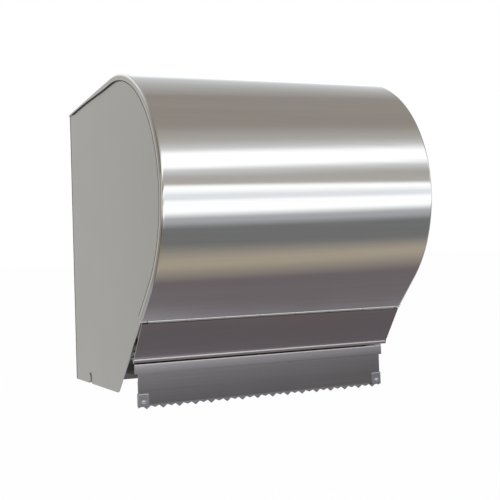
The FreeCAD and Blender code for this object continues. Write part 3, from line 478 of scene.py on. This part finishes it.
def notch_tab(side, material):
    """The rounded tab in a cheek's notch: level circles of radius NOTCH_TAB_R carried up a line that
    leans back by NOTCH_TAB_LEAN s * s. Over the top fifth the radius shrinks by sqrt(1 - q * q)."""
    share = np.linspace(0.02, 1, 14)
    radius = NOTCH_TAB_R * np.sqrt(1 - np.clip((share - 0.8) / 0.2, 0, 0.995) ** 2)
    turn = np.radians(np.arange(0, 360, 18))[None, :]
    rings = np.empty((len(share), turn.shape[1], 3))
    rings[..., 0] = side * (CHEEK_OUT + 0.4 * MM) + radius[:, None] * np.cos(turn)
    rings[..., 1] = (NOTCH_TAB_LEAN * share ** 2 + NOTCH_TAB_Y)[:, None] + radius[:, None] * np.sin(turn)
    rings[..., 2] = BOTTOM + (NOTCH_TAB_FOOT + NOTCH_TAB_HEIGHT * share)[:, None]
    verts, faces = skin_loft(rings)
    name = "notch_tab_right" if side > 0 else "notch_tab_left"
    return add_piece(name, verts, faces, "cabinet", material, sharp=60)


def blade_clip(side, material):
    """The blade's corner tab: a rounded plate (u, v) -> superellipse of exponent CLIP_SQUARENESS, with
    a round dimple of depth DIMPLE_DEPTH (1 - r^2)^2."""
    u, v = np.meshgrid(np.linspace(-1, 1, 41), np.linspace(-1, 1, 41), indexing="ij")
    power = CLIP_SQUARENESS
    reach = (np.abs(u) ** power + np.abs(v) ** power) ** (1 / power)
    scale = np.maximum(np.abs(u), np.abs(v)) / np.maximum(reach, 1e-9)
    half_x, half_z = CLIP_WIDTH / 2, (CLIP_TOP - CLIP_BOTTOM) / 2
    x = side * (PLATE_HALF + CLIP_OVERHANG - half_x) + u * scale * half_x
    z = (CLIP_TOP + CLIP_BOTTOM) / 2 + v * scale * half_z
    radius = np.clip(np.hypot(u * half_x, v * half_z) / DIMPLE_R, 0, 1)
    edge = np.clip((1 - np.maximum(np.abs(u), np.abs(v))) / 0.12, 0, 1)
    raised = CLIP_THICK * np.sqrt(1 - (1 - edge) ** 2)
    front = LEVER_FRONT - raised + DIMPLE_DEPTH * (1 - radius ** 2) ** 2
    face = np.stack([x, front, z], -1).reshape(-1, 3)
    back = np.stack([x, np.full_like(x, LEVER_FRONT + 0.1 * MM), z], -1).reshape(-1, 3)
    count = len(u)
    i, j = np.meshgrid(np.arange(count - 1), np.arange(count - 1), indexing="ij")
    first = (i * count + j).ravel()
    quads = np.stack([first, first + count, first + count + 1, first + 1], -1)
    rim = np.concatenate([np.arange(count), np.arange(1, count) * count + count - 1,
                          (count - 1) * count + np.arange(count - 2, -1, -1),
                          np.arange(count - 2, 0, -1) * count])
    after = np.roll(rim, -1)
    size = count * count
    sides = np.stack([rim, after, after + size, rim + size], -1)
    faces = np.concatenate([quads, quads[:, ::-1] + size, sides[:, ::-1]])
    name = "clip_right" if side > 0 else "clip_left"
    return add_piece(name, np.concatenate([face, back]), faces, "lever", material,
                     sharp=50)


def lever(material):
    """The push plate: an L of sheet with a bend of radius LEVER_BEND, wider at its top band."""
    centre = (LEVER_FRONT + LEVER_BEND, LEVER_TOP - LEVER_BEND)

    def skin(depth, bottom):
        bend = arc(*centre, LEVER_BEND - depth, 90, 180, 10)
        top = np.array([[FLANGE_END, LEVER_TOP - depth]])
        foot = np.array([[LEVER_FRONT + depth, bottom]])
        return np.concatenate([top, bend, foot])

    band, band_faces = sheet_along_x(skin(0, BAND_BOTTOM), skin(LEVER_SHEET, BAND_BOTTOM), BAND_HALF)
    low = np.array([[LEVER_FRONT, BAND_BOTTOM], [LEVER_FRONT, PLATE_BOTTOM]])
    plate, plate_faces = sheet_along_x(low, low + (LEVER_SHEET, 0), PLATE_HALF)
    points = np.concatenate([band, plate])
    faces = np.concatenate([band_faces, plate_faces + len(band)])
    return add_piece("lever_sheet", points, faces, "lever", material, ["lever_plate"],
                     0.2 * MM)


FLOOR_REACH = 60.0
FLOOR_Z = -0.7
FLOOR_GLOW = 0.92


def stage_material(name, colour):
    """A matt pale surface that shows as a bright ground to the camera and in reflections."""
    material, nodes, links, shader = new_material(name)
    shader.inputs["Base Color"].default_value = (*colour, 1)
    shader.inputs["Roughness"].default_value = 0.9
    rays = nodes.new("ShaderNodeLightPath")
    seen = nodes.new("ShaderNodeMath")
    seen.operation = "MAXIMUM"
    links.new(rays.outputs["Is Camera Ray"], seen.inputs[0])
    links.new(rays.outputs["Is Glossy Ray"], seen.inputs[1])
    part = nodes.new("ShaderNodeMath")
    part.operation = "MULTIPLY"
    part.inputs[1].default_value = FLOOR_GLOW
    links.new(seen.outputs[0], part.inputs[0])
    glow = nodes.new("ShaderNodeEmission")
    mix = nodes.new("ShaderNodeMixShader")
    links.new(part.outputs[0], mix.inputs["Fac"])
    links.new(shader.outputs["BSDF"], mix.inputs[1])
    links.new(glow.outputs["Emission"], mix.inputs[2])
    links.new(mix.outputs["Shader"], nodes["Material Output"].inputs["Surface"])
    return material


# The light tent: a long round tent along X, hung with pale and dark strips of cloth. A strip's angle
# is measured from the front, up and over: 0 in front, 90 above, 180 at the wall, -90 below. Each
# strip has one level from its first angle to its second and blends into the next.
TENT_RADIUS = 0.6
TENT_LENGTH = 6.0
TENT_RINGS = 31
TENT_AROUND = 720
COOL = (0.97, 1.0, 1.04)
ICE = (0.95, 1.0, 1.09)
NEUTRAL = (1.02, 1.0, 0.97)
WARM = (1.07, 1.0, 0.93)
KHAKI = (1.12, 1.0, 0.82)
PLUM = (1.11, 1.0, 1.10)
LAVENDER = (1.00, 1.0, 1.12)
PANEL = 1.7
WINDOW = 1.3
FOLD = 1.2
RIM = 0.9
PALE = 0.8
GREY = 0.6
DIM = 0.5
DULL = 0.4
SHADE = 0.25
DARK = 0.2
TENT_STRIPS = [
    (-180, -150, GREY, NEUTRAL), (-130, -110, PALE, COOL), (-98, -88, DIM, LAVENDER),
    (-85, -74, DARK, PLUM), (-58, -52, DIM, KHAKI), (-38, -25, SHADE, COOL), (-20, -17, GREY, ICE),
    (-12, -4, PANEL, COOL), (-2, 1, FOLD, ICE), (5, 8, PANEL, COOL), (9.5, 15, GREY, NEUTRAL),
    (20, 21, RIM, COOL), (24, 35, PANEL, COOL), (39, 40, RIM, COOL), (46, 47, GREY, NEUTRAL),
    (60, 96, DULL, WARM), (100, 102, DIM, NEUTRAL), (128, 130, PALE, COOL), (140, 146, WINDOW, COOL),
    (158, 180, GREY, NEUTRAL),
]
TENT_LEFT = (0.52, 0.50, 0.44)
TENT_LEAN = [(-180, 0), (-95, -10), (-84, -10), (-78, 0), (-55, 8), (-40, 0), (-15, 8), (14, 6),
             (20, 18), (80, 22), (110, 32), (140, 26), (165, 0)]


def tent_material():
    """Emission of the colour kept at each point of the tent."""
    material, nodes, links, shader = new_material("tent_cloth")
    kept = nodes.new("ShaderNodeAttribute")
    kept.attribute_name = "glow"
    glow = nodes.new("ShaderNodeEmission")
    links.new(kept.outputs["Color"], glow.inputs["Color"])
    links.new(glow.outputs["Emission"], nodes["Material Output"].inputs["Surface"])
    return material


def tent_colours(angle, x):
    """The tent's colour at an angle in degrees and a place x. The strips hang askew: they are looked up
    at angle - lean(angle) * (x - 0.1), with x - 0.1 kept within 0.7 m. Far to the left the tent fades
    to a darker olive, which the cover's rim bend shows."""
    lean = np.interp(angle, *np.array(TENT_LEAN).T)
    base = angle - lean * np.clip(x - 0.1, -0.7, 0.7)
    base = (base + 180) % 360 - 180
    degrees = np.array([strip[:2] for strip in TENT_STRIPS], float).ravel()
    colours = np.repeat([[level * share for share in tint] for _, _, level, tint in TENT_STRIPS], 2, 0)
    bands = np.stack([np.interp(base, degrees, colours[:, c]) for c in range(3)], -1)
    fade = np.clip((-0.45 - x) / 0.3, 0, 1)[..., None]
    return bands * (1 - fade * (1 - np.array(TENT_LEFT)))


def stage_mesh(name, points, faces, material):
    mesh = bpy.data.meshes.new(name)
    mesh.from_pydata(points.tolist(), [], faces.tolist())
    mesh.materials.append(material)
    thing = bpy.data.objects.new(name, mesh)
    bpy.context.scene.collection.objects.link(thing)
    return thing


def build_stage():
    """A white ground below, the light tent round the object and a white world behind both."""
    reach, floor_z = FLOOR_REACH, FLOOR_Z
    corners = np.array([[-reach, -reach, floor_z], [reach, -reach, floor_z], [reach, reach, floor_z],
                        [-reach, reach, floor_z]])
    stage_mesh("floor", corners, np.array([[0, 1, 2, 3]]), stage_material("floor_white", grey(0.86)))

    angle = np.linspace(-180, 180, TENT_AROUND, endpoint=False)[None, :]
    x = (TENT_LENGTH / 2 * np.linspace(-1, 1, TENT_RINGS) ** 3)[:, None]
    rings = np.empty((TENT_RINGS, TENT_AROUND, 3))
    rings[..., 0] = x
    rings[..., 1] = BARREL_Y - TENT_RADIUS * np.cos(np.radians(angle))
    rings[..., 2] = BARREL_Z + TENT_RADIUS * np.sin(np.radians(angle))
    faces = tube_faces(TENT_RINGS, TENT_AROUND)
    tent = stage_mesh("light_tent", rings.reshape(-1, 3), faces, tent_material())
    colours = np.ones(rings.shape[:2] + (4,))
    colours[..., :3] = tent_colours(*np.broadcast_arrays(angle, x))
    glow = tent.data.color_attributes.new("glow", "FLOAT_COLOR", "POINT")
    glow.data.foreach_set("color", colours.ravel())
    tent.visible_camera = False
    tent.visible_shadow = False

    world = bpy.data.worlds.new("studio")
    world.use_nodes = True
    background = world.node_tree.nodes["Background"]
    background.inputs["Color"].default_value = (1, 1, 1, 1)
    background.inputs["Strength"].default_value = 1.0
    bpy.context.scene.world = world


# Camera: the photograph's viewpoint, worked out from the cabinet's outline
CAMERA_PLACE = (-0.4428, -1.0730, -0.0259)
CAMERA_TURN = math.radians(25.68)
CAMERA_PITCH = math.radians(1.61)
CAMERA_ROLL = math.radians(-1.81)
CAMERA_LENS = 75.5
CAMERA_SHIFT_Y = -0.06


def build_camera():
    data = bpy.data.cameras.new("photo_view")
    data.sensor_width = 36
    data.lens = CAMERA_LENS
    data.shift_y = CAMERA_SHIFT_Y
    data.clip_start, data.clip_end = 0.01, 300
    camera = bpy.data.objects.new("photo_view", data)
    bpy.context.scene.collection.objects.link(camera)
    turn, pitch = CAMERA_TURN, CAMERA_PITCH
    ahead = Vector((math.sin(turn) * math.cos(pitch), math.cos(turn) * math.cos(pitch), math.sin(pitch)))
    level = Vector((math.cos(turn), -math.sin(turn), 0))
    above = level.cross(ahead)
    right = level * math.cos(CAMERA_ROLL) + above * math.sin(CAMERA_ROLL)
    up = above * math.cos(CAMERA_ROLL) - level * math.sin(CAMERA_ROLL)
    turned = Matrix((right, up, -ahead)).transposed()
    camera.matrix_world = Matrix.Translation(CAMERA_PLACE) @ turned.to_4x4()
    bpy.context.scene.camera = camera


dress_frame()
cover(FINISHES["cover_steel"])
cover_hem(FINISHES["cover_steel"])
lip_bead(FINISHES["cover_steel"])
apron(FINISHES["front_steel"])
lever(SHADED_LEVER_STEEL)
for side in (-1, 1):
    cheek_shadow_strip(side, SEAM_SHADOW)
    notch_tab(side, FINISHES["hinge_steel"])
    hinge_end(side, FINISHES["hinge_steel"])
    blade_clip(side, FINISHES["blade_steel"])
build_stage()
build_camera()
bpy.context.scene.view_settings.view_transform = "Standard"
